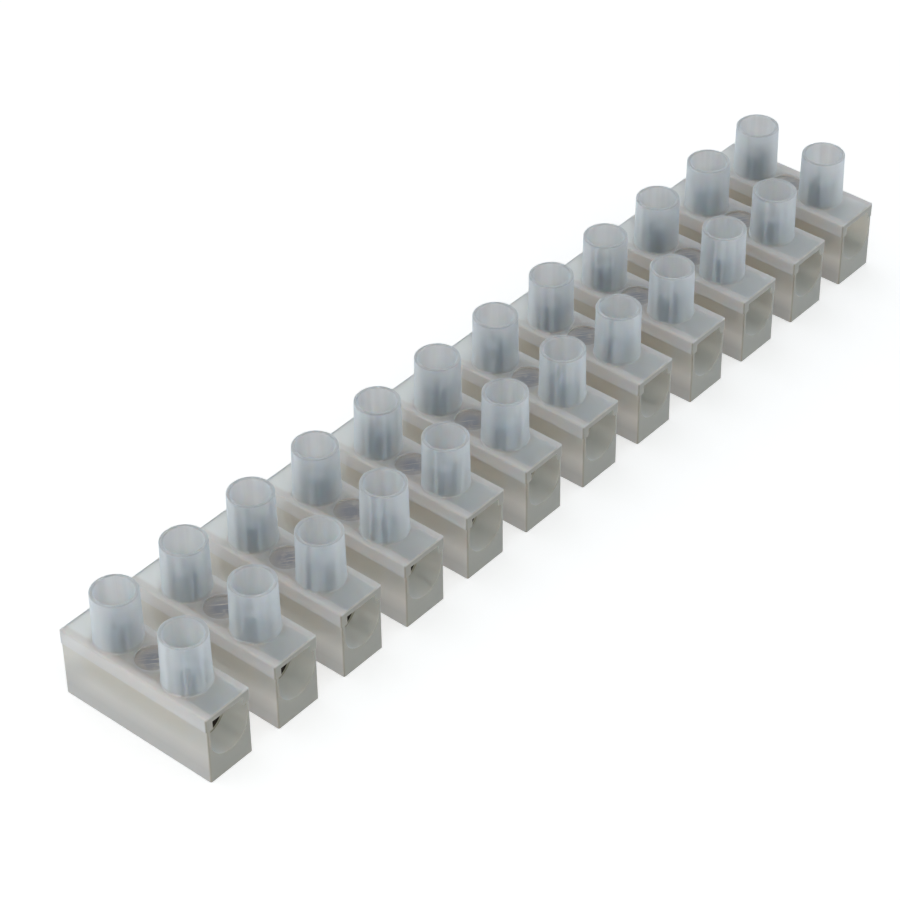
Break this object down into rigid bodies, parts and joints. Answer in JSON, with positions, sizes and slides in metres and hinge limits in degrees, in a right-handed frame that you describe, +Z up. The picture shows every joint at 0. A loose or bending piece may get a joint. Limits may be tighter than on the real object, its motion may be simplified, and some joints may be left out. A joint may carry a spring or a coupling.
{
  "type": "screw terminal strip",
  "caption": "Translucent moulded terminal strip: a row of box-shaped poles joined by webs, each with a brass wire insert and headless clamp screws in open tubular chimneys.",
  "frame": {"origin": "on the plane of the strip's feet, midway along its length and its depth", "axes": "+X along the row of poles, +Y along the wire bores from the front mouths to the back, +Z up through the chimneys"},
  "size_m": [0.1338, 0.024, 0.0174],
  "materials": {
    "housing": "translucent natural moulded plastic with a soft sheen",
    "insert": "drawn bar, sawn to length and drilled",
    "screw": "bright zinc plate with a bluish cast"
  },
  "bodies": {
    "strip": {"housing": "housing", "insert_1": "insert", "insert_2": "insert", "insert_3": "insert", "insert_4": "insert", "insert_5": "insert", "insert_6": "insert", "insert_7": "insert", "insert_8": "insert", "insert_9": "insert", "insert_10": "insert", "insert_11": "insert", "insert_12": "insert"},
    "screw_front_1": {"screw_front_1": "screw"},
    "screw_front_2": {"screw_front_2": "screw"},
    "screw_front_3": {"screw_front_3": "screw"},
    "screw_front_4": {"screw_front_4": "screw"},
    "screw_front_5": {"screw_front_5": "screw"},
    "screw_front_6": {"screw_front_6": "screw"},
    "screw_front_7": {"screw_front_7": "screw"},
    "screw_front_8": {"screw_front_8": "screw"},
    "screw_front_9": {"screw_front_9": "screw"},
    "screw_front_10": {"screw_front_10": "screw"},
    "screw_front_11": {"screw_front_11": "screw"},
    "screw_front_12": {"screw_front_12": "screw"},
    "screw_back_1": {"screw_back_1": "screw"},
    "screw_back_2": {"screw_back_2": "screw"},
    "screw_back_3": {"screw_back_3": "screw"},
    "screw_back_4": {"screw_back_4": "screw"},
    "screw_back_5": {"screw_back_5": "screw"},
    "screw_back_6": {"screw_back_6": "screw"},
    "screw_back_7": {"screw_back_7": "screw"},
    "screw_back_8": {"screw_back_8": "screw"},
    "screw_back_9": {"screw_back_9": "screw"},
    "screw_back_10": {"screw_back_10": "screw"},
    "screw_back_11": {"screw_back_11": "screw"},
    "screw_back_12": {"screw_back_12": "screw"}
  },
  "joints": [
    {"name": "screw_front_1_travel", "type": "slide", "parent": "strip", "child": "screw_front_1", "axis": [0, 0, 1], "range_m": [-0.0036, 0.0003]},
    {"name": "screw_front_2_travel", "type": "slide", "parent": "strip", "child": "screw_front_2", "axis": [0, 0, 1], "range_m": [-0.0036, 0.0003]},
    {"name": "screw_front_3_travel", "type": "slide", "parent": "strip", "child": "screw_front_3", "axis": [0, 0, 1], "range_m": [-0.0036, 0.0003]},
    {"name": "screw_front_4_travel", "type": "slide", "parent": "strip", "child": "screw_front_4", "axis": [0, 0, 1], "range_m": [-0.0036, 0.0003]},
    {"name": "screw_front_5_travel", "type": "slide", "parent": "strip", "child": "screw_front_5", "axis": [0, 0, 1], "range_m": [-0.0036, 0.0003]},
    {"name": "screw_front_6_travel", "type": "slide", "parent": "strip", "child": "screw_front_6", "axis": [0, 0, 1], "range_m": [-0.0036, 0.0003]},
    {"name": "screw_front_7_travel", "type": "slide", "parent": "strip", "child": "screw_front_7", "axis": [0, 0, 1], "range_m": [-0.0036, 0.0003]},
    {"name": "screw_front_8_travel", "type": "slide", "parent": "strip", "child": "screw_front_8", "axis": [0, 0, 1], "range_m": [-0.0036, 0.0003]},
    {"name": "screw_front_9_travel", "type": "slide", "parent": "strip", "child": "screw_front_9", "axis": [0, 0, 1], "range_m": [-0.0036, 0.0003]},
    {"name": "screw_front_10_travel", "type": "slide", "parent": "strip", "child": "screw_front_10", "axis": [0, 0, 1], "range_m": [-0.0036, 0.0003]},
    {"name": "screw_front_11_travel", "type": "slide", "parent": "strip", "child": "screw_front_11", "axis": [0, 0, 1], "range_m": [-0.0036, 0.0003]},
    {"name": "screw_front_12_travel", "type": "slide", "parent": "strip", "child": "screw_front_12", "axis": [0, 0, 1], "range_m": [-0.0036, 0.0003]},
    {"name": "screw_back_1_travel", "type": "slide", "parent": "strip", "child": "screw_back_1", "axis": [0, 0, 1], "range_m": [-0.0036, 0.0003]},
    {"name": "screw_back_2_travel", "type": "slide", "parent": "strip", "child": "screw_back_2", "axis": [0, 0, 1], "range_m": [-0.0036, 0.0003]},
    {"name": "screw_back_3_travel", "type": "slide", "parent": "strip", "child": "screw_back_3", "axis": [0, 0, 1], "range_m": [-0.0036, 0.0003]},
    {"name": "screw_back_4_travel", "type": "slide", "parent": "strip", "child": "screw_back_4", "axis": [0, 0, 1], "range_m": [-0.0036, 0.0003]},
    {"name": "screw_back_5_travel", "type": "slide", "parent": "strip", "child": "screw_back_5", "axis": [0, 0, 1], "range_m": [-0.0036, 0.0003]},
    {"name": "screw_back_6_travel", "type": "slide", "parent": "strip", "child": "screw_back_6", "axis": [0, 0, 1], "range_m": [-0.0036, 0.0003]},
    {"name": "screw_back_7_travel", "type": "slide", "parent": "strip", "child": "screw_back_7", "axis": [0, 0, 1], "range_m": [-0.0036, 0.0003]},
    {"name": "screw_back_8_travel", "type": "slide", "parent": "strip", "child": "screw_back_8", "axis": [0, 0, 1], "range_m": [-0.0036, 0.0003]},
    {"name": "screw_back_9_travel", "type": "slide", "parent": "strip", "child": "screw_back_9", "axis": [0, 0, 1], "range_m": [-0.0036, 0.0003]},
    {"name": "screw_back_10_travel", "type": "slide", "parent": "strip", "child": "screw_back_10", "axis": [0, 0, 1], "range_m": [-0.0036, 0.0003]},
    {"name": "screw_back_11_travel", "type": "slide", "parent": "strip", "child": "screw_back_11", "axis": [0, 0, 1], "range_m": [-0.0036, 0.0003]},
    {"name": "screw_back_12_travel", "type": "slide", "parent": "strip", "child": "screw_back_12", "axis": [0, 0, 1], "range_m": [-0.0036, 0.0003]}
  ]
}
